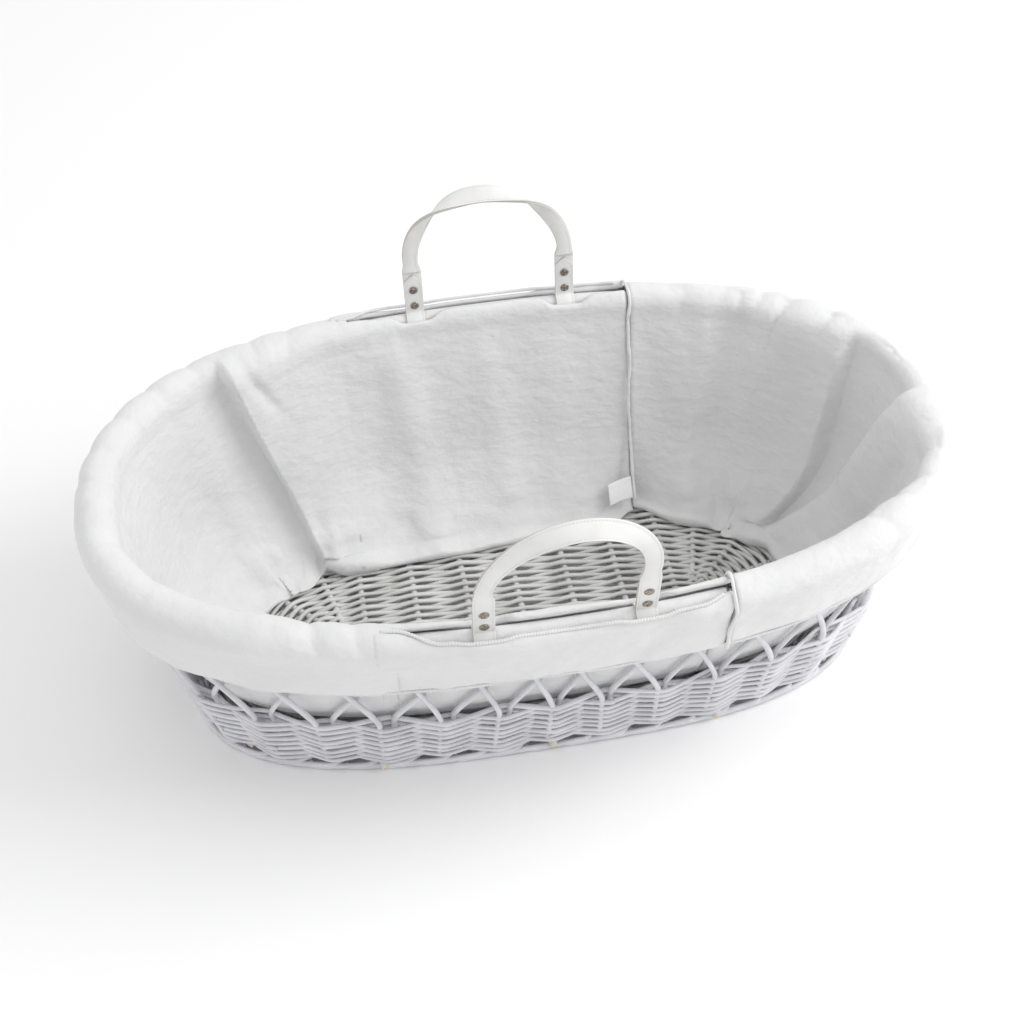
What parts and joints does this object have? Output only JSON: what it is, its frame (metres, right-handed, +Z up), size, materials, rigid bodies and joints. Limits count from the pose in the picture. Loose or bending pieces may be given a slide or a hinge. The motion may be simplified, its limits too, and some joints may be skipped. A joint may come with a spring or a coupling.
{
  "type": "bassinet",
  "caption": "Oval wicker bassinet basket with flared sides, a padded cotton liner rolled over the rim and two riveted leather strap handles.",
  "frame": {"origin": "centre of the underside, on the plane the foot border stands on", "axes": "+X along the basket towards the foot end, +Y to the back, +Z up"},
  "size_m": [0.8437, 0.4834, 0.41],
  "materials": {
    "painted_willow": "satin",
    "cotton": "matt",
    "wadding": "matt",
    "sewn_edge": "matt",
    "label_tape": "satin",
    "strap_leather": "satin",
    "lining_leather": "matt",
    "rivet_metal": "antique"
  },
  "bodies": {
    "basket": {"base_cross_sticks": "painted_willow", "base_weave": "painted_willow", "foot_border": "painted_willow", "lower_weave": "painted_willow", "upper_weave": "painted_willow", "stakes_leaning_left": "painted_willow", "stakes_leaning_right": "painted_willow", "rim_rods": "painted_willow", "front_panel": "cotton", "front_wadding": "wadding", "back_panel": "cotton", "back_wadding": "wadding", "head_panel": "cotton", "head_wadding": "wadding", "foot_panel": "cotton", "foot_wadding": "wadding", "head_roll": "cotton", "head_skirt": "cotton", "foot_roll": "cotton", "foot_skirt": "cotton", "front_slot_lip": "cotton", "front_slot_flap": "cotton", "front_slot_binding": "sewn_edge", "front_seam_piping": "sewn_edge", "back_slot_lip": "cotton", "back_slot_flap": "cotton", "back_slot_binding": "sewn_edge", "back_seam_piping": "sewn_edge", "hem_binding": "sewn_edge", "care_label": "label_tape"},
    "front_handle": {"front_handle_strap": "strap_leather", "front_handle_lining": "lining_leather", "front_handle_rivets": "rivet_metal", "front_handle_rivet_caps": "rivet_metal"},
    "back_handle": {"back_handle_strap": "strap_leather", "back_handle_lining": "lining_leather", "back_handle_rivets": "rivet_metal", "back_handle_rivet_caps": "rivet_metal"}
  },
  "joints": [
    {"name": "front_handle_swing", "type": "hinge", "parent": "basket", "child": "front_handle", "pos_m": [0, -0.2176, 0.262], "axis": [1, 0, 0], "range_deg": [-45, 22]},
    {"name": "back_handle_swing", "type": "hinge", "parent": "basket", "child": "back_handle", "pos_m": [0, 0.21683, 0.262], "axis": [-1, 0, 0], "range_deg": [-45, 22]}
  ]
}
